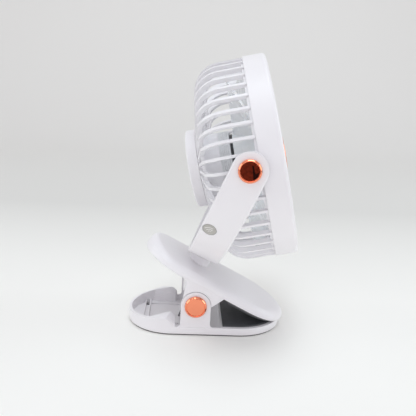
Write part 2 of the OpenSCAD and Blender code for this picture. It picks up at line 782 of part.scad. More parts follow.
// Section of the band between radii r0 and r1, with rounded outer edges
module band_section(r0, r1, w, round) {
    translate([r0, -w / 2]) square([r1 - r0 - round, w]);
    translate([r1 - round - 0.01, -w / 2 + round]) square([round + 0.01, w - 2 * round]);
    if (round > 0) for (s = [-1, 1]) intersection() {
        translate([r1 - round, s * (w / 2 - round)]) circle(round);
        translate([r0, -w / 2]) square([r1 - r0, w]);
    }
}

// U-shaped band round the pivot axis, open at the top, with round ends
module yoke_band(r0, r1, w, round) {
    intersection() {
        union() {
            rotate([0, 0, 0]) intersection() {
                rotate([0, 90, 0]) rotate_extrude($fn = 128) band_section(r0, r1, w, round);
                translate([-w, -r1 - 1, -r1 - 1]) cube([2 * w, 2 * r1 + 2, r1 + 1]);
            }
            for (s = [0, 180]) rotate([0, 0, s]) linear_extrude(w)
                rotate(90) band_section(r0, r1, w, round);
        }
        rotate([90, 0, 0]) translate([0, 0, -r1 - 1]) linear_extrude(2 * r1 + 2) {
            circle(w / 2);
            translate([-w / 2, -r1 - 1]) square([w, r1 + 1]);
        }
    }
}

module yoke_shell() {
    color(shell_white) pivot_frame() difference() {
        yoke_band(shell_in_r, yoke_r, yoke_w, yoke_round);
        difference() {
            yoke_band(shell_in_r - 1, pocket_r, yoke_w - 2 * yoke_wall, 0);
            for (s = [-1, 1]) rotate([90 * s, 0, 0]) cylinder(r = screw_r + 3, h = yoke_r);
            rotate([180, 0, 0]) cylinder(r = stem_r + 4, h = yoke_r);
        }
        rotate([90, 0, 0]) cylinder(r = screw_r + run, h = 2 * yoke_r + 2, center = true, $fn = 48);
        translate([0, 0, -yoke_r - 1]) cylinder(r = stem_r + run, h = 10, $fn = 48);
        translate([0, 0, -yoke_r + stem_seat]) cylinder(r = stem_r + 3.2, h = 10, $fn = 48);
        at_button() translate([0, 0, -4]) cylinder(r = button_r + slip, h = 8);
    }
}

// Frame on the yoke's outer face at the speed button, pointing out
module at_button() {
    rotate([-button_at, 0, 0]) translate([-button_back, 0, -yoke_r]) rotate([180, 0, 0]) children();
}

module yoke_cover() {
    color(shell_white) pivot_frame() difference() {
        yoke_band(yoke_in_r, cover_out_r, yoke_w, 0);
        rotate([90, 0, 0]) cylinder(r = screw_r + run, h = 2 * yoke_r + 2, center = true, $fn = 48);
        both_sides() translate([0, -yoke_in_r, 0]) rotate([-90, 0, 0]) cylinder(r = washer_r + 0.2, h = 3);
    }
}

module swivel_stem() {
    color([0.8, 0.8, 0.82]) swivel_frame() difference() {
        union() {
            translate([0, 0, -stem_down]) cylinder(r = stem_r, h = stem_down + stem_seat + 0.1, $fn = 48);
            translate([0, 0, stem_seat + 0.05])
                cylinder(r = stem_r + 3, h = yoke_t - cover_t - stem_seat - 0.1, $fn = 48);
        }
        translate([0, 0, -stem_down - eps]) cylinder(r = 1.6, h = stem_down + yoke_t + 3, $fn = 32);
    }
}

module swivel_washer() {
    color(steel) swivel_frame() translate([0, 0, -washer_down - washer_t]) difference() {
        cylinder(r = stem_r + 1.9, h = washer_t, $fn = 48);
        translate([0, 0, -eps]) cylinder(r = stem_r + run, h = 2, $fn = 48);
    }
}

module swivel_nut() {
    color(steel) swivel_frame() translate([0, 0, -washer_down - washer_t - seat - swivel_nut_t])
        difference() {
            cylinder(r = stem_r + 1.9, h = swivel_nut_t, $fn = 6);
            translate([0, 0, -eps]) cylinder(r = stem_r + run, h = 4, $fn = 48);
        }
}

module pivot_caps() {
    color(rose_gold) pivot_frame() both_sides() translate([0, -yoke_r - seat, 0]) rotate([90, 0, 0])
        difference() {
            cap_body(cap_r);
            translate([0, 0, -eps]) cylinder(r = screw_r + 1.5 + slip, h = 1.35 + eps, $fn = 48);
        }
}

module pivot_screws() {
    color(steel) pivot_frame() both_sides() translate([0, -yoke_r - 0.05, 0]) rotate([90, 0, 0])
        screw(screw_r, yoke_t + 8, screw_r + 1.5, 1.1);
}

module pivot_washers() {
    color([0.3, 0.3, 0.32]) pivot_frame() both_sides()
        translate([0, -yoke_in_r + 0.05, 0]) rotate([-90, 0, 0]) difference() {
            cylinder(r = washer_r, h = yoke_in_r - boss_face - 0.1);
            translate([0, 0, -eps]) cylinder(r = screw_r + run, h = 2, $fn = 48);
        }
}

module speed_board() {
    color("darkgreen") pivot_frame() at_button() translate([-3.4, -7, -yoke_t + cover_t + 0.35])
        cube([10.4, 14, 0.5]);
}

module speed_button() {
    color([0.67, 0.66, 0.63]) pivot_frame() at_button() difference() {
        translate([0, 0, -1.1]) cylinder(r = button_r, h = 1.1 + 0.5);
        for (k = [-1 : 1]) translate([k * 2.2 - 0.25, -3, 0.2]) cube([0.5, 6, 1]);
    }
}

// ---------- fan head, along +Z ----------

// Corner where the cage's rear face, inset by d, leaves the shoulder
function cage_corner(d) = [cage_r - cage_shoulder + (cage_shoulder - d - shoulder_in) * sin(cage_slope),
                           -cage_bend - (cage_shoulder - d - shoulder_in) * cos(cage_slope)];

// Place of the cage's rear face along the axis at radius r
function cage_x(r) = cage_corner(0)[1] - (cage_corner(0)[0] - r) * tan(cage_slope);

// Half section of the cage's contour, inset by d
module cage_section(d) {
    s = cage_r - cage_shoulder;
    q = cage_corner(d);
    translate([0, -cage_bend]) square([cage_r - d, cage_bend + ring_x]);
    intersection() {
        union() {
            translate([s, -cage_bend]) circle(cage_shoulder - d, $fn = 96);
            translate([0, -cage_bend - 2 * cage_shoulder]) square([q[0], 2 * cage_shoulder]);
        }
        polygon([[0, -cage_bend], [cage_r, -cage_bend], [cage_r, q[1] + (cage_r - q[0]) * tan(cage_slope)],
                 [0, q[1] - q[0] * tan(cage_slope)]]);
    }
}

module front_ring() {
    color(shell_white) head_frame() rotate_extrude($fn = 128) {
        translate([ring_r - ring_wall, ring_x]) square([ring_wall, ring_d - ring_round]);
        translate([lip_r, ring_front - ring_wall]) square([ring_r - ring_round - lip_r, ring_wall]);
        translate([ring_r - ring_round, ring_front - ring_round]) intersection() {
            difference() {
                circle(ring_round);
                circle(ring_round - ring_wall);
            }
            square(ring_round + 1);
        }
    }
}

grille_z = ring_front - ring_wall - seat;
module front_grille() {
    bar_r = 46;
    color(shell_white) head_frame() {
        translate([0, 0, grille_z - 2.6]) linear_extrude(2.6) {
            intersection() {
                for (k = [0 : grille_bars - 1]) rotate(k * 360 / grille_bars)
                    translate([bar_r * 0.86, bar_r * 0.5]) difference() {
                        circle(bar_r + 0.75, $fn = 96);
                        circle(bar_r - 0.75, $fn = 96);
                        rotate(35) translate([-100, 0]) square([200, 100]);
                    }
                difference() {
                    circle(ring_r - ring_wall - 3.6, $fn = 128);
                    circle(centre_r - 1, $fn = 96);
                }
            }
            difference() {
                circle(ring_r - ring_wall - 0.6, $fn = 128);
                circle(ring_r - ring_wall - 4.2, $fn = 128);
            }
            difference() {
                circle(42.8, $fn = 96);
                circle(41.2, $fn = 96);
            }
            circle(centre_r + 1.6);
        }
        translate([0, 0, grille_z - 0.1]) cylinder(r = centre_r + 1.6, h = 3.2);
    }
}

module centre_cap() {
    color(rose_gold) head_frame() translate([0, 0, grille_z + 3.2]) rotate_extrude($fn = 96)
        polygon([[0, 0], [centre_r, 0], [centre_r, 1], [centre_r - 0.9, 2], [centre_r - 2.4, 2],
                 [centre_r - 3, 1.6], [1, 2.4], [0, 2.4]]);
}

module cage_skin(d0, d1) {
    rotate_extrude($fn = 128) difference() {
        cage_section(d0);
        cage_section(d1);
    }
}

module rear_cage() {
    color(shell_white) head_frame() difference() {
        union() {
            intersection() {
                cage_skin(0, rib_d);
                union() {
                    for (k = [0 : cage_ribs - 1]) rotate((k + 0.5) * 360 / cage_ribs)
                        translate([hub_r - 3, -rib_w / 2, -60]) cube([60, rib_w, 60 + ring_x - 0.1]);
                }
            }
            intersection() {
                cage_skin(1, rib_d);
                translate([0, 0, -60]) difference() {
                    cylinder(r = hoop_r, h = 60);
                    translate([0, 0, -1]) cylinder(r = hoop_r - rib_w, h = 62);
                }
            }
            // collar that slides into the front ring
            translate([0, 0, ring_x - 1.6]) difference() {
                cylinder(r = ring_r - ring_wall - slip, h = 9, $fn = 128);
                translate([0, 0, -eps]) cylinder(r = cage_r - rib_d - 0.6, h = 10, $fn = 128);
            }
            translate([0, 0, cage_x(hub_r)]) cylinder(r = hub_r - 0.4, h = plate_t + 1);
            translate([0, 0, cage_x(hub_r) + plate_t]) difference() {
                cylinder(r = motor_r, h = pod_front - cage_x(hub_r) - plate_t);
                translate([0, 0, 0.5]) cylinder(r = motor_r - pod_wall, h = 30);
            }
            both_sides() intersection() {
                rotate([90, 0, 0]) cylinder(r = boss_head_r, h = boss_face);
                translate([-20, -boss_face - 1, -20])
                    cube([40, boss_face + 2 - cage_r + 5.5, 20 + ring_x - 0.2]);
            }
        }
        // seat of the rear hub cap
        translate([0, 0, cage_x(hub_r) - 10]) cylinder(r = hub_r + seat, h = 10);
        both_sides() translate([0, -boss_face - 1, 0]) rotate([-90, 0, 0])
            cylinder(r = screw_r + 0.01, h = 9.2, $fn = 48);
        translate([0, 0, -60]) cylinder(r = bearing_r + 0.02, h = 60, $fn = 48);
        at_motor_screws() cylinder(r = motor_screw_r + 0.01, h = plate_t + 1, $fn = 32);
    }
}

module rear_hub_cap() {
    z0 = hub_face;
    z1 = cage_x(hub_r) - seat;
    color(shell_white) head_frame() rotate_extrude() difference() {
        union() {
            translate([0, z0]) square([hub_r - 1.5, z1 - z0]);
            translate([0, z0 + 1.5]) square([hub_r, z1 - z0 - 1.5]);
            translate([hub_r - 1.5, z0 + 1.5]) circle(1.5);
        }
        translate([-1, z0 + hub_wall]) square([hub_r - hub_wall + 1, z1 - z0]);
    }
}

module motor_can() {
    color(steel) head_frame() difference() {
        union() {
            translate([0, 0, pod_front + seat]) cylinder(r = motor_r - 0.8, h = can_front - pod_front - seat);
            for (k = [0 : 5]) translate([0, 0, pod_front + seat + k * 1.36])
                cylinder(r = motor_r, h = 0.7);
        }
        translate([0, 0, pod_front - 1]) cylinder(r = motor_r - pod_wall, h = can_front - pod_front - 0.6);
        translate([0, 0, -30]) cylinder(r = bearing_r + 0.02, h = 30, $fn = 48);
    }
}

// Wound stator: a ring with wound teeth that point at the magnet
module stator() {
    color([0.75, 0.42, 0.22]) head_frame() translate([0, 0, pod_front - 8]) difference() {
        union() {
            difference() {
                cylinder(r = stator_r, h = 12);
                translate([0, 0, -eps]) cylinder(r = stator_r - 2.4, h = 13);
            }
            for (k = [0 : 5]) rotate(k * 60) translate([magnet_r + 0.5, -2.4, 1])
                cube([stator_r - magnet_r - 1.5, 4.8, 10]);
        }
        translate([0, 0, -eps]) cylinder(r = magnet_r + 0.5, h = 13);
    }
}

module bearing_at(z) {
    head_frame() translate([0, 0, z]) difference() {
        cylinder(r = bearing_r, h = bearing_w, $fn = 48);
        translate([0, 0, -eps]) cylinder(r = shaft_r + run, h = bearing_w + 1, $fn = 48);
    }
}

module rear_bearing() { color(steel) bearing_at(cage_x(hub_r)); }
module front_bearing() { color(steel) bearing_at(can_front - bearing_w); }

// Places of the three screws that hold the motor, on the rear of the cage's plate
module at_motor_screws() {
    for (k = [0 : 2]) rotate(k * 120 + 30) translate([motor_r - 6, 0, cage_x(hub_r)]) children();
}

module motor_screws() {
    color(steel) head_frame() at_motor_screws() translate([0, 0, -run]) rotate([180, 0, 0])
        screw(motor_screw_r, 2.2, 2.2, 1.2);
}

module motor_shaft() {
    color(steel) head_frame() translate([0, 0, cage_x(hub_r) + 0.4])
        cylinder(r = shaft_r, h = imp_front - cage_x(hub_r) + 3.4, $fn = 48);
}

module rotor_magnet() {
    color([0.35, 0.35, 0.38]) head_frame() translate([0, 0, pod_front - 7]) difference() {
        cylinder(r = magnet_r, h = 10);
        translate([0, 0, -eps]) cylinder(r = shaft_r + 0.01, h = 11, $fn = 48);
    }
}

module rotor_disc() {
    color(pad_black) head_frame() translate([0, 0, can_front + 0.4]) difference() {
        cylinder(r = rotor_r - 0.8, h = disc_front - can_front - 0.4);
        translate([0, 0, -eps]) cylinder(r = shaft_r + 0.01, h = 6, $fn = 48);
    }
}

// Blade surface: angle and height at radius fraction f and chord fraction c
function blade_angle(f, c) = (c - 0.5) * (64 - 6 * f) + 10 * f * f;
function blade_z(f, c) = imp_rear + 1 + (imp_front - imp_rear - 1 - 4 * f) * (0.5 - 0.5 * cos(180 * c))
    * (1 - 0.16 * f) + 2.2 * f;
function blade_point(f, c, dz) = let(r = rotor_r - 1.2 + (blade_r - rotor_r + 1.2) * f, a = blade_angle(f, c))
    [r * cos(a), r * sin(a), blade_z(f, c) + dz];

module blade(n = 7, m = 8) {
    w = m + 1;
    count = (n + 1) * w;
    points = [for (s = [0, 1], i = [0 : n], k = [0 : m])
        let(c = k / m, thin = blade_t * (0.35 + 0.65 * sin(180 * c)) / 2)
        blade_point(i / n, c, s == 0 ? thin : -thin)];
    grid = [for (i = [0 : n - 1], k = [0 : m - 1])
        [i * w + k, i * w + k + 1, (i + 1) * w + k + 1, (i + 1) * w + k]];
    edge = concat([for (i = [0 : n]) i * w], [for (k = [1 : m]) n * w + k],
                  [for (i = [n - 1 : -1 : 0]) i * w + m], [for (k = [m - 1 : -1 : 1]) k]);
    faces = concat(
        [for (q = grid) each [[q[0], q[1], q[2]], [q[0], q[2], q[3]]]],
        [for (q = grid) each [[count + q[0], count + q[2], count + q[1]],
                              [count + q[0], count + q[3], count + q[2]]]],
        [for (i = [0 : len(edge) - 1]) let(a = edge[i], b = edge[(i + 1) % len(edge)])
            each [[a, b, b + count], [a, b + count, a + count]]]);
    polyhedron(points, faces);
}

module impeller() {
    color([0.78, 0.84, 0.88]) head_frame() difference() {
        union() {
            rotate_extrude($fn = 96) difference() {
                union() {
                    translate([0, imp_rear]) square([rotor_r, imp_front - imp_rear - 5]);
                    translate([0, imp_front - 5.01]) square([rotor_r - 5, 5.01]);
                    translate([rotor_r - 5, imp_front - 5]) circle(5);
                }
                translate([-1, imp_rear - 1]) square([rotor_r - 1.6 + 1, imp_front - imp_rear - 3]);
            }
            translate([0, 0, imp_rear + 0.4]) cylinder(r = 4.4, h = imp_front - imp_rear - 1.5);
            for (k = [0 : blades - 1]) rotate(k * 360 / blades) blade();
        }
        translate([0, 0, imp_rear - 1]) cylinder(r = shaft_r + 0.01, h = 40, $fn = 48);
    }
}

module impeller_nut() {
    color([0.85, 0.7, 0.4]) head_frame() translate([0, 0, imp_front + 0.05]) difference() {
        cylinder(r = nut_r, h = 3, $fn = 6);
        translate([0, 0, -eps]) cylinder(r = shaft_r + run, h = 5, $fn = 48);
    }
}

base_tray();
base_pad();
foot_pad();
hinge_pin();
hinge_caps();
grip_spring();
jaw_shell();
jaw_cover();
jaw_pad();
battery_cell();
charge_board();
usb_socket();
charge_led();
swivel_bush();
jaw_screws();
yoke_shell();
yoke_cover();
swivel_stem();
swivel_washer();
swivel_nut();
pivot_caps();
pivot_screws();
pivot_washers();
speed_board();
speed_button();
front_ring();
front_grille();
centre_cap();
rear_cage();
rear_hub_cap();
motor_can();
stator();
rear_bearing();
front_bearing();
motor_screws();
motor_shaft();
rotor_magnet();
rotor_disc();
impeller();
impeller_nut();
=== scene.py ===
# Looks of the portable camping fan: camera, materials, finer meshes, floor and light. Lengths in metres.
import json
import math

import bpy
import numpy as np
from mathutils import Matrix, Vector


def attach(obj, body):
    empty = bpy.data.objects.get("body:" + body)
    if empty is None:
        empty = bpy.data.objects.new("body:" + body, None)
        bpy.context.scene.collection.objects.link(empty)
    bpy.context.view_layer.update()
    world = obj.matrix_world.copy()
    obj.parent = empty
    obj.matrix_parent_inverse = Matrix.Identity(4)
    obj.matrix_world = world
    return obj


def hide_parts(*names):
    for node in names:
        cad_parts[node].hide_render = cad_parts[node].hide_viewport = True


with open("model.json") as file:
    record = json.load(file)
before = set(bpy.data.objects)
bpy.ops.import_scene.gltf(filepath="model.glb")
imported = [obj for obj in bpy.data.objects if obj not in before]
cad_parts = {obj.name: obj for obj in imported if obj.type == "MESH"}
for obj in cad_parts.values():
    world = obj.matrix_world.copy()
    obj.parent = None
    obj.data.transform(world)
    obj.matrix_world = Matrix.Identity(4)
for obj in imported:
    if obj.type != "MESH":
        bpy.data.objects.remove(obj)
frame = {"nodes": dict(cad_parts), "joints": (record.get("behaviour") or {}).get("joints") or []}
NODES = frame["nodes"]
JOINTS = {joint["name"]: joint for joint in frame["joints"]}
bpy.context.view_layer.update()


def add_object(name, data):
    obj = bpy.data.objects.new(name, data)
    bpy.context.scene.collection.objects.link(obj)
    return obj


# ---------- camera, fitted to the photograph ----------

CAMERA_PLACE = Vector((-0.01639, -0.43001, 0.18703))
CAMERA_YAW, CAMERA_PITCH, CAMERA_ROLL = (math.radians(angle) for angle in (-2.129, 12.763, -2.584))
PHOTO_PX = 416
FOCAL_PX = 580
SENSOR_MM = 36


def add_camera():
    data = bpy.data.cameras.new("camera")
    data.sensor_width = SENSOR_MM
    data.lens = SENSOR_MM * FOCAL_PX / PHOTO_PX
    data.clip_start = 0.01
    data.clip_end = 20
    turned = Matrix.Rotation(CAMERA_YAW, 3, "Z") @ Matrix.Rotation(-CAMERA_PITCH, 3, "X")
    turned = turned @ Matrix.Rotation(CAMERA_ROLL, 3, "Y")
    right, forward, up = (turned.col[k] for k in range(3))
    camera = add_object("camera", data)
    camera.matrix_world = Matrix.Translation(CAMERA_PLACE) @ Matrix(
        (right, up, -forward)).transposed().to_4x4()
    bpy.context.scene.camera = camera


add_camera()


# ---------- materials ----------

class Shader:
    """A Principled material, with short ways to vary its colour, roughness and surface."""

    def __init__(self, name, colour, **sockets):
        self.material = bpy.data.materials.new(name)
        self.material.use_nodes = True
        self.tree = self.material.node_tree
        self.inputs = self.tree.nodes["Principled BSDF"].inputs
        self.colour = colour
        self.set("Base Color", (*colour, 1))
        for socket, value in sockets.items():
            self.set(socket.replace("_", " "), value)
        self.place = self.add("ShaderNodeTexCoord").outputs["Object"]

    def set(self, socket, value):
        self.inputs[socket].default_value = value

    def add(self, kind, **values):
        """A new node. Each value is a property of the node or the default of one of its sockets."""
        node = self.tree.nodes.new(kind)
        for key, value in values.items():
            if hasattr(node, key):
                setattr(node, key, value)
            else:
                node.inputs[key.replace("_", " ")].default_value = value
        return node

    def link(self, output, socket):
        self.tree.links.new(output, socket)

    def noise(self, scale, detail=2, stretch=None):
        node = self.add("ShaderNodeTexNoise", Scale=scale, Detail=detail)
        source = self.place
        if stretch:
            mapping = self.add("ShaderNodeMapping", Scale=stretch)
            self.link(source, mapping.inputs["Vector"])
            source = mapping.outputs["Vector"]
        self.link(source, node.inputs["Vector"])
        return node.outputs["Fac"]

    def spread(self, value, low, high, start=0.3, stop=0.7):
        """Maps the range from start to stop onto the range from low to high."""
        node = self.add("ShaderNodeMapRange", From_Min=start, From_Max=stop, To_Min=low, To_Max=high)
        self.link(value, node.inputs["Value"])
        return node.outputs["Result"]

    def mottle(self, amount, scale=45, detail=3):
        """Uneven depth of the colour, by amount either way."""
        mix = self.add("ShaderNodeVectorMath", operation="SCALE")
        mix.inputs[0].default_value = self.colour
        self.link(self.spread(self.noise(scale, detail), 1 - amount, 1 + amount), mix.inputs["Scale"])
        self.link(mix.outputs["Vector"], self.inputs["Base Color"])
        return self

    def gloss(self, low, high, scale=120, stretch=None):
        """Roughness that varies from place to place."""
        self.link(self.spread(self.noise(scale, 3, stretch), low, high), self.inputs["Roughness"])
        return self

    def relief(self, edge=0.0, grain=0.0, scale=900, depth=0.0001, stretch=None):
        """Edges softened by a radius, and the fine grain of the surface on top."""
        normal = None
        if edge:
            soft = self.add("ShaderNodeBevel", samples=4)
            soft.inputs["Radius"].default_value = edge
            normal = soft.outputs["Normal"]
        if grain:
            bump = self.add("ShaderNodeBump", Strength=grain, Distance=depth)
            self.link(self.noise(scale, 2, stretch), bump.inputs["Height"])
            if normal:
                self.link(normal, bump.inputs["Normal"])
            normal = bump.outputs["Normal"]
        self.link(normal, self.inputs["Normal"])
        return self


def metal(name, colour, low, high, grain, stretch=None, edge=0.0001):
    """Bare metal with a roughness from low to high and fine marks, longer one way where stretched."""
    shader = Shader(name, colour, Metallic=1.0).mottle(0.02).gloss(low, high, 300, stretch)
    return shader.relief(edge, grain, 700, 0.00003, stretch).material


# mouldings: the shell, the finer bars of the cage, the blades, the stem's collar, greyed with painted
# shade, and the motor's can
WHITE = Shader("white_shell", (0.90, 0.878, 0.90), Specular_IOR_Level=0.45).mottle(0.006).gloss(
    0.30, 0.38).relief(0.00035, 0.05, 1500, 0.00004).material
CAGE_WHITE = Shader("white_cage", (0.91, 0.895, 0.92), Subsurface_Weight=0.3,
                    Subsurface_Radius=(0.0015, 0.0015, 0.0015)).mottle(0.006).gloss(
    0.28, 0.36).relief(0.0003, 0.05, 1500, 0.00004).material
BLADE = Shader("blade", (0.90, 0.92, 0.94), Subsurface_Weight=0.8,
               Subsurface_Radius=(0.006, 0.0063, 0.0066)).mottle(0.01).gloss(0.2, 0.3).relief(
    0.0, 0.04, 800, 0.00005).material
# the stem's collar is darker and bluer than the shell: painted shade, for the shadow that the yoke casts on
# it
SHADED_COLLAR = Shader("collar_painted_shade", (0.60, 0.61, 0.68), Specular_IOR_Level=0.4).mottle(0.01).gloss(
    0.34, 0.42).relief(0.0003, 0.05, 1500, 0.00004).material
CAN = Shader("motor_can", (0.88, 0.885, 0.90)).mottle(0.02).gloss(0.28, 0.4).relief(
    0.0003, 0.06, 900, 0.00005).material

# rubber and fibre
BLACK = Shader("black_rubber", (0.088, 0.091, 0.10)).mottle(0.08, 90).gloss(0.5, 0.66, 200).relief(
    0.0003, 0.35, 1800, 0.00012).material
FOOT = Shader("black_foot", (0.02, 0.02, 0.023)).mottle(0.08, 90).gloss(0.6, 0.75, 200).relief(
    0.0002, 0.3, 1500, 0.0001).material
FIBRE = Shader("fibre", (0.07, 0.07, 0.08)).mottle(0.15, 300).gloss(0.65, 0.8).relief(
    0.0, 0.4, 1200).material

# metals
ROSE = metal("rose_gold", (0.98, 0.33, 0.19), 0.012, 0.035, 0.006, edge=0.0)
STEEL = metal("steel", (0.55, 0.55, 0.57), 0.22, 0.34, 0.1)
SPRING = metal("spring_steel", (0.42, 0.42, 0.44), 0.25, 0.4, 0.15)
BRONZE = metal("bronze", (0.6, 0.42, 0.2), 0.3, 0.42, 0.1)
COPPER = metal("winding", (0.6, 0.25, 0.1), 0.3, 0.45, 0.5, (1, 1, 8))

# what lies inside
BOARD = Shader("board", (0.02, 0.16, 0.06)).mottle(0.12, 260, 1).gloss(0.3, 0.45).relief(
    0.0001, 0.1, 500, 0.00004).material
CELL = Shader("cell_sleeve", (0.05, 0.18, 0.45)).mottle(0.02).gloss(0.25, 0.35).relief(
    0.0002, 0.1, 300).material
MAGNET = Shader("magnet", (0.08, 0.08, 0.09)).mottle(0.06, 200).gloss(0.4, 0.6).relief(
    0.0002, 0.2).material
DISC = Shader("rotor_black", (0.03, 0.03, 0.035)).mottle(0.05, 200).gloss(0.35, 0.5).relief(
    0.0002, 0.1).material

# the light guide of the charging light, and the speed button with its mark
LENS = Shader("light_guide", (0.8, 0.9, 0.85), Transmission_Weight=0.6).mottle(0.01).gloss(
    0.25, 0.35).relief(0.0001, 0.05).material
BUTTON = Shader("button_grey", (0.49, 0.475, 0.44)).mottle(0.03, 120).gloss(0.4, 0.5).relief(
    0.0002, 0.15, 1500).material
MARK = Shader("button_mark", (0.84, 0.82, 0.80)).mottle(0.02, 120).gloss(0.35, 0.45).relief(
    0.0, 0.1, 1500).material

LOOK = {
    "base_tray": WHITE, "base_pad": BLACK, "foot_pad": FOOT, "hinge_pin": STEEL, "hinge_caps": ROSE,
    "grip_spring": SPRING, "jaw_shell": WHITE, "jaw_cover": WHITE, "jaw_pad": BLACK, "battery_cell": CELL,
    "charge_board": BOARD, "usb_socket": STEEL, "charge_led": LENS, "swivel_bush": BRONZE,
    "jaw_screws": STEEL, "yoke_shell": WHITE, "yoke_cover": WHITE, "swivel_stem": SHADED_COLLAR,
    "swivel_washer": STEEL, "swivel_nut": STEEL, "pivot_caps": ROSE, "pivot_screws": STEEL,
    "pivot_washers": FIBRE, "speed_board": BOARD, "speed_button": BUTTON, "front_ring": WHITE,
    "front_grille": CAGE_WHITE, "centre_cap": ROSE, "rear_cage": CAGE_WHITE, "rear_hub_cap": WHITE,
    "motor_can": CAN, "stator": COPPER, "rear_bearing": BRONZE, "front_bearing": BRONZE,
    "motor_screws": STEEL, "motor_shaft": STEEL, "rotor_magnet": MAGNET, "rotor_disc": DISC,
    "impeller": BLADE, "impeller_nut": BRONZE,
}
for name, node in NODES.items():
    node.data.materials.clear()
    node.data.materials.append(LOOK[name])


# ---------- making meshes ----------

def axes_of(axis):
    """Two unit vectors square to the axis and to each other."""
    side = axis.cross(Vector((0, 0, 1)))
    if side.length < 0.1:
        side = axis.cross(Vector((1, 0, 0)))
    side.normalize()
    return side, axis.cross(side).normalized()


def arc(r, h, radius, start, stop, steps):
    """Points on an arc round (r, h), its angles in degrees from the outward direction."""
    angles = [math.radians(start + (stop - start) * k / steps) for k in range(steps + 1)]
    return [(r + radius * math.cos(angle), h + radius * math.sin(angle)) for angle in angles]


class Form:
    """Points and faces of a mesh in the making."""

    def __init__(self):
        self.points, self.faces = [], []

    def spin(self, profile, foot, axis, steps=144):
        """Adds a closed solid: (radius, height) points, spun round an axis that stands on foot.

        The profile starts and ends at the centre."""
        a, b = axes_of(axis)
        first = len(self.points)
        self.points.append(foot + axis * profile[0][1])
        for r, h in profile[1:-1]:
            for k in range(steps):
                angle = 2 * math.pi * k / steps
                self.points.append(foot + axis * h + (a * math.cos(angle) + b * math.sin(angle)) * r)
        last = len(self.points)
        self.points.append(foot + axis * profile[-1][1])
        for k in range(steps):
            m = (k + 1) % steps
            self.faces.append((first, first + 1 + k, first + 1 + m))
            for i in range(len(profile) - 3):
                q = first + 1 + i * steps
                self.faces.append((q + k, q + steps + k, q + steps + m, q + m))
            self.faces.append((last, last - steps + m, last - steps + k))

    def tube(self, path, radius, steps=12):
        """Adds a round wire along a list of points, closed at both ends."""
        first = len(self.points)
        for i, point in enumerate(path):
            along = (path[min(i + 1, len(path) - 1)] - path[max(i - 1, 0)]).normalized()
            u = along.cross(Vector((1, 0, 0)) if abs(along.y) > 0.9 else Vector((0, 1, 0))).normalized()
            v = u.cross(along)
            for k in range(steps):
                angle = 2 * math.pi * k / steps
                self.points.append(point + (u * math.cos(angle) + v * math.sin(angle)) * radius)
        for i in range(len(path) - 1):
            q = first + i * steps
            for k in range(steps):
                m = (k + 1) % steps
                self.faces.append((q + k, q + steps + k, q + steps + m, q + m))
        last = first + (len(path) - 1) * steps
        self.faces.append(tuple(first + k for k in range(steps)))
        self.faces.append(tuple(last + k for k in range(steps - 1, -1, -1)))

    def piece(self, name, material, smooth=True):
        mesh = bpy.data.meshes.new(name)
        mesh.from_pydata(self.points, [], self.faces)
        mesh.update()
        mesh.materials.append(material)
        for face in mesh.polygons:
            face.use_smooth = smooth
        return add_object(name, mesh)


def points_of(node):
    return np.array([tuple(v.co) for v in NODES[node].data.vertices])


def round_body(points, axis):
    """Centre of the foot, height and radius of a round body that stands along an axis."""
    middle = Vector((0, 0, 0))
    for side in axes_of(axis):
        spans = points @ np.array(side)
        middle += side * float(spans.min() + spans.max()) / 2
    along = points @ np.array(axis)
    radius = np.linalg.norm(points - np.outer(along, axis) - np.array(middle), axis=1).max()
    return middle + axis * float(along.min()), float(along.max() - along.min()), float(radius)


# ---------- polished caps ----------

CAP_HIGH = 0.0024           # of the pivots' and the hinge's caps, from the back to the crest
CAP_DOME = 0.00012          # how much the disc swells at its centre
CAP_WELL = 0.0006           # how deep the disc lies below the rim's crest
CREST_R = 0.00014           # rounding of the rim's crest
EDGE_R = 0.00032            # rounding of the rim's outer edge
BEVEL_SLOPE = 1.1
DISC_RINGS = (0, 0.1, 0.2, 0.3, 0.4, 0.5, 0.6, 0.7, 0.8, 0.88, 0.94, 0.975, 0.99)
BEVEL_RINGS = (0.06, 0.12, 0.5, 0.88, 0.94)


def cap_profile(r, rim, bore, deep):
    """A pressed cap: a slightly domed disc in a shallow well, and a bevelled rim round it.

    A bore in its back takes the end of the pin or the head of the screw."""
    disc, well = r - rim, CAP_HIGH - CAP_WELL
    points = [(disc * k, well + CAP_DOME * (1 - k ** 2)) for k in DISC_RINGS]
    # the corner of the well, its wall, and the crest
    points += [(disc - 0.00002, well - 0.00006), (disc + 0.00004, well - 0.00002),
               (disc + 0.0001, well + 0.0002), (disc + 0.00018, CAP_HIGH - CREST_R)]
    points += arc(disc + 0.00034, CAP_HIGH - CREST_R, CREST_R, 150, 70, 4)
    # the bevel, held flat by close rings at its ends, and the outer edge
    top = (disc + 0.00044, CAP_HIGH - 0.00004)
    wide = r - 0.00022 - top[0]
    points += [(top[0] + wide * k, top[1] - BEVEL_SLOPE * wide * k) for k in BEVEL_RINGS]
    edge = top[1] - BEVEL_SLOPE * wide - 0.00018
    points += arc(r - EDGE_R, edge, EDGE_R, 45, 0, 4)
    points += [(r, edge - 0.00022), (r, 0.0), (bore, 0.0), (bore, deep), (0.0, deep)]
    return points


def polished_caps(node, body, centre, axis, rim, bore, deep):
    """Replaces the two round caps of a node, one at each end of an axis through centre."""
    points = points_of(node)
    ends = (points - np.array(centre)) @ np.array(axis)
    form = Form()
    for out in (-1, 1):
        foot, high, r = round_body(points[ends * out > 0], axis * out)
        form.spin(cap_profile(r, rim, bore, deep), foot + axis * out * (high - CAP_HIGH), axis * out)
    caps = form.piece(node + "_polished", ROSE)
    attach(caps, body)
    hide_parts(node)


CENTRE_RIM = 0.0031         # width of the rim of the grille's cap
CENTRE_HIGH = 0.0021        # of its disc, at the centre
CENTRE_FALL = 0.0007        # and how much less at the disc's border


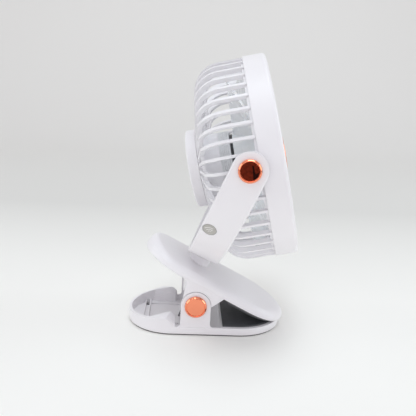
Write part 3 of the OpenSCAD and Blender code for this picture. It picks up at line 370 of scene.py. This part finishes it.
def centre_cap_profile(r):
    """The front grille's cap: a domed disc inside a rolled rim."""
    disc = r - CENTRE_RIM
    points = [(disc * k / 12, CENTRE_HIGH - CENTRE_FALL * (k / 12) ** 2) for k in range(13)]
    # the corner between disc and rim, then the rim's inner and outer rounding
    points += [(r - 0.0027, 0.00138), (r - 0.0024, 0.00152)]
    points += arc(r - 0.0013, 0.0012, 0.0006, 150, 90, 5)
    points += arc(r - 0.0010, 0.0008, 0.0010, 85, 0, 8)
    return points + [(r, 0.0), (0.0, 0.0)]


hinge_at = Vector(JOINTS["jaw_hinge"]["pos_m"])
hinge_axis = -Vector(JOINTS["jaw_hinge"]["axis"]).normalized()
pivot_at = Vector(JOINTS["head_tilt"]["pos_m"])
pivot_axis = -Vector(JOINTS["head_tilt"]["axis"]).normalized()
fan_axis = Vector(JOINTS["fan_spin"]["axis"]).normalized()
polished_caps("hinge_caps", "base", hinge_at, hinge_axis, rim=0.0015, bore=0.00205, deep=0.0011)
polished_caps("pivot_caps", "yoke", pivot_at, pivot_axis, rim=0.0013, bore=0.0038, deep=0.00135)

cap_foot, cap_high, cap_r = round_body(points_of("centre_cap"), fan_axis)
form = Form()
form.spin(centre_cap_profile(cap_r), cap_foot, fan_axis, 160)
cap = form.piece("centre_cap_polished", ROSE)
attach(cap, "head")
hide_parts("centre_cap")


# ---------- grip spring: coil and lower leg stay with the base, the upper leg goes with the jaw ----------

COIL_R = 0.0044             # to the wire's centre
WIRE_R = 0.0008
COILS = 7
COIL_STEPS = 36             # points of one turn
COIL_PITCH = 2 * WIRE_R * 1.06              # the turns lie a little apart
COIL_HALF = COILS * COIL_PITCH / 2
LOWER_END = (-0.0125, -0.0191)      # (x, z) of the legs' ends from the hinge
UPPER_END = (-0.00245, 0.01717)


def from_hinge(x, y, z):
    return hinge_at + Vector((x, y, z))


def leaving(end, turned):
    """Angle at which a leg that ends there leaves the coil."""
    return math.atan2(end[1], end[0]) + turned * math.acos(COIL_R / math.hypot(*end))


coil_start = leaving(LOWER_END, -1) + 2 * math.pi
coil_sweep = coil_start - leaving(UPPER_END, 1) + 2 * math.pi * COILS
coil = []
for k in range(COIL_STEPS * COILS + 1):
    share = k / (COIL_STEPS * COILS)
    angle = coil_start - coil_sweep * share
    coil.append(from_hinge(COIL_R * math.cos(angle), COIL_HALF * (2 * share - 1), COIL_R * math.sin(angle)))

form = Form()
form.tube([from_hinge(LOWER_END[0], -COIL_HALF, LOWER_END[1])] + coil, WIRE_R)
spring = form.piece("grip_spring_coil", SPRING)
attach(spring, "base")
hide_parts("grip_spring")

form = Form()
form.tube([coil[-2], coil[-1], from_hinge(UPPER_END[0], COIL_HALF, UPPER_END[1])], WIRE_R)
leg = form.piece("grip_spring_leg", SPRING)
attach(leg, "upper_jaw")


# ---------- speed button: a domed disc with three raised arcs, the common mark of a breeze ----------

BUTTON_DEEP = 0.0011        # from the plane of the arm's face to the button's back
BUTTON_EDGE = 0.0005        # rounding of its edge
BUTTON_EDGE_LOW = 0.00034   # how deep in the arm that rounding ends
FACE_R = 0.0040             # radius of the domed face
FACE_HIGH = 0.00034         # how far its centre stands out of the plane
FACE_FALL = 0.00016         # and how much less its border
MARK_WIRE_R = 0.0003
MARK_SUNK = 0.00006         # how deep the wire's centre lies below the face
MARK_LOW = 0.0021           # how far the arcs' common centre lies below the button's
MARK_ARCS = ((0.0014, 52), (0.0029, 50), (0.0044, 40))      # radius, and half its angle in degrees


def face_height(distance):
    return FACE_HIGH - FACE_FALL * (distance / FACE_R) ** 2


button_out = -Vector(JOINTS["speed_press"]["axis"]).normalized()
button_foot, button_high, button_r = round_body(points_of("speed_button"), button_out)
button_at = button_foot + button_out * BUTTON_DEEP

form = Form()
profile = [(FACE_R * k / 8, face_height(FACE_R * k / 8)) for k in range(9)]
profile += arc(button_r - BUTTON_EDGE, -BUTTON_EDGE_LOW, BUTTON_EDGE, 75, 0, 6)
profile += [(button_r, -BUTTON_DEEP), (0.0, -BUTTON_DEEP)]
form.spin(profile, button_at, button_out, 96)
disc = form.piece("speed_button_disc", BUTTON)
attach(disc, "button")
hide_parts("speed_button")

upward = (Vector((0, 0, 1)) - button_out * button_out.z).normalized()
across = upward.cross(button_out).normalized()
form = Form()
for reach, half in MARK_ARCS:
    path = []
    for k in range(25):
        angle = math.radians(90 + half * (k / 12 - 1))
        u, v = reach * math.sin(angle) - MARK_LOW, reach * math.cos(angle)
        path.append(button_at + across * v + upward * u
                    + button_out * (face_height(math.hypot(u, v)) - MARK_SUNK))
    form.tube(path, MARK_WIRE_R, 8)
waves = form.piece("speed_button_waves", MARK)
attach(waves, "button")


# ---------- floor and backdrop ----------

FLOOR_HALF = 6.0
BEND_AT = 0.9               # where the floor starts to bend up into the backdrop
BEND_R = 0.7
WALL_TOP = 4.0
SWEEP_COLOUR = (0.86, 0.85, 0.82)
# place on the scale, and how much painted light or shade lightens or darkens the colour there
SWEEP_PAINTED_LIGHT_LEVELS = ((0.0, 1.09), (0.125, 1.09), (0.3, 0.88), (0.6, 1.0), (0.9, 1.14))
SWEEP_FROM, SWEEP_TO = -0.2, 1.8    # y where the levels' scale starts and ends


def sweep_material():
    """Pale paper with painted light and shade: its colour is lighter and darker in bands along y, following
    the brightness of the photograph's background.
    """
    shader = Shader("backdrop", SWEEP_COLOUR, Roughness=0.8, Specular_IOR_Level=0.1)
    axes = shader.add("ShaderNodeSeparateXYZ")
    shader.link(shader.place, axes.inputs["Vector"])
    shade = shader.add("ShaderNodeValToRGB")
    shader.link(shader.spread(axes.outputs["Y"], 0, 1, SWEEP_FROM, SWEEP_TO), shade.inputs["Fac"])
    stops = shade.color_ramp.elements
    stops.remove(stops[1])
    for place, level in SWEEP_PAINTED_LIGHT_LEVELS[1:]:
        stops.new(place)
    # each stop is the paper's colour, made lighter or darker by painted light and shade
    for stop, (place, level) in zip(stops, SWEEP_PAINTED_LIGHT_LEVELS):
        stop.color = (*(channel * level for channel in SWEEP_COLOUR), 1)
    shader.link(shade.outputs["Color"], shader.inputs["Base Color"])
    return shader.material


form = Form()
path = [(-FLOOR_HALF, 0.0)] + arc(BEND_AT, BEND_R, BEND_R, -90, 0, 15) + [(BEND_AT + BEND_R, WALL_TOP)]
form.points = [(x, y, z) for y, z in path for x in (-FLOOR_HALF, FLOOR_HALF)]
form.faces = [(2 * k, 2 * k + 1, 2 * k + 3, 2 * k + 2) for k in range(len(path) - 1)]
sweep = form.piece("floor_sweep", sweep_material())


# ---------- dark cards that glow, though they are no lamps: a painted reflection of the room round the camera in the metal ---

CARDS_AT = Vector((-0.02, -0.8, 0.072))     # behind the camera


def painted_reflection_material(name, colour):
    shader = Shader(name, (0, 0, 0), Roughness=1.0, Specular_IOR_Level=0.0)
    shader.set("Emission Color", (*colour, 1))
    # the glow, uneven from place to place, is the colour of the painted reflection
    shader.link(shader.spread(shader.noise(45), 0.65, 1.25), shader.inputs["Emission Strength"])
    return shader.material


def card(name, outline, material, nearer=0.0):
    """An upright glowing card that shows in reflections alone, as a painted reflection. One that covers
    another is a little nearer.
    """
    form = Form()
    form.points = [CARDS_AT + Vector((x, nearer, z)) for x, z in outline]
    form.faces = [tuple(range(len(outline)))]
    piece = form.piece(name, material, smooth=False)
    piece.visible_camera = False
    piece.visible_diffuse = False
    piece.visible_shadow = False


PAINTED_REFLECTION_BROWN = painted_reflection_material("painted_reflection_brown", (0.115, 0.045, 0.036))
PAINTED_REFLECTION_BLACK = painted_reflection_material("painted_reflection_black", (0.018, 0.014, 0.02))
card("card", [(-0.16, -0.14), (0.16, -0.14), (0.16, 0.14), (-0.16, 0.14)], PAINTED_REFLECTION_BROWN)
# a black stripe and corner: painted dark streaks in the reflection on the polished caps
card("card_stripe", [(-0.013, 0.05), (0.0017, 0.05), (0.0125, 0.002), (0.026, -0.03), (0.04, -0.05),
                     (0.002, -0.05), (0.0003, -0.034), (-0.0037, 0.002)], PAINTED_REFLECTION_BLACK, 0.002)
card("card_corner", [(0.0225, -0.004), (0.0415, 0.004), (0.06, -0.08), (0.002, -0.08),
                     (0.0085, -0.03)], PAINTED_REFLECTION_BLACK, 0.004)
card("card_right", [(0.3, -0.07), (1.5, -0.07), (1.5, 0.45), (0.3, 0.45)], PAINTED_REFLECTION_BROWN)


# ---------- lamps and world ----------

# place, what it points at, width and height, power, colour
LAMPS = {
    "key": ((-0.7, -0.9, 1.3), (0, 0, 0.1), (0.9, 0.9), 1.5, (0.91, 0.98, 1)),
    "top": ((0.05, -0.14, 1.5), (0.02, -0.1, 0), (1.0, 0.75), 7.8, (0.88, 0.97, 1)),
    "left": ((-1.4, 0.0, 0.6), (0, 0, 0.1), (1.0, 0.9), 3.9, (0.92, 1, 0.99)),
    "right": ((1.4, 0.1, 0.6), (0, 0, 0.1), (1.0, 0.9), 5.0, (0.88, 1, 1.02)),
    "low": ((0.2, -1.1, 0.22), (0, 0, 0.1), (1.2, 0.3), 1.8, (0.95, 0.97, 1)),
    "back": ((0.0, 0.75, 1.1), (0, 0, 0.1), (1.4, 0.6), 0.5, (1, 1, 1)),
}
STUDIO_SEEN = (0.72, 0.74, 0.74, 1)         # the pale studio, seen directly or mirrored
STUDIO_LIGHT = (0.475, 0.455, 0.485, 1)     # the light that it gives


def add_lamp(name, place, target, size, power, colour):
    data = bpy.data.lights.new(name, "AREA")
    data.shape = "RECTANGLE"
    data.size, data.size_y = size
    data.energy = power
    data.color = colour
    lamp = add_object(name, data)
    lamp.location = place
    lamp.rotation_euler = (Vector(target) - Vector(place)).to_track_quat("-Z", "Y").to_euler()
    lamp.visible_camera = False


def add_world():
    world = bpy.data.worlds.new("studio")
    bpy.context.scene.world = world
    world.use_nodes = True
    nodes, links = world.node_tree.nodes, world.node_tree.links
    ray = nodes.new("ShaderNodeLightPath")
    seen = ray.outputs["Is Camera Ray"]
    for kind in ("Is Glossy Ray", "Is Transmission Ray"):
        either = nodes.new("ShaderNodeMath")
        either.operation = "MAXIMUM"
        links.new(seen, either.inputs[0])
        links.new(ray.outputs[kind], either.inputs[1])
        seen = either.outputs[0]
    mix = nodes.new("ShaderNodeMix")
    mix.data_type = "RGBA"
    links.new(seen, mix.inputs["Factor"])
    unseen_colour, seen_colour = (socket for socket in mix.inputs if socket.type == "RGBA")
    unseen_colour.default_value = STUDIO_LIGHT
    seen_colour.default_value = STUDIO_SEEN
    sky = nodes["Background"].inputs
    sky["Strength"].default_value = 1.0
    links.new(next(socket for socket in mix.outputs if socket.type == "RGBA"), sky["Color"])


for name, values in LAMPS.items():
    add_lamp(name, *values)
add_world()
bpy.context.scene.view_settings.view_transform = "Standard"
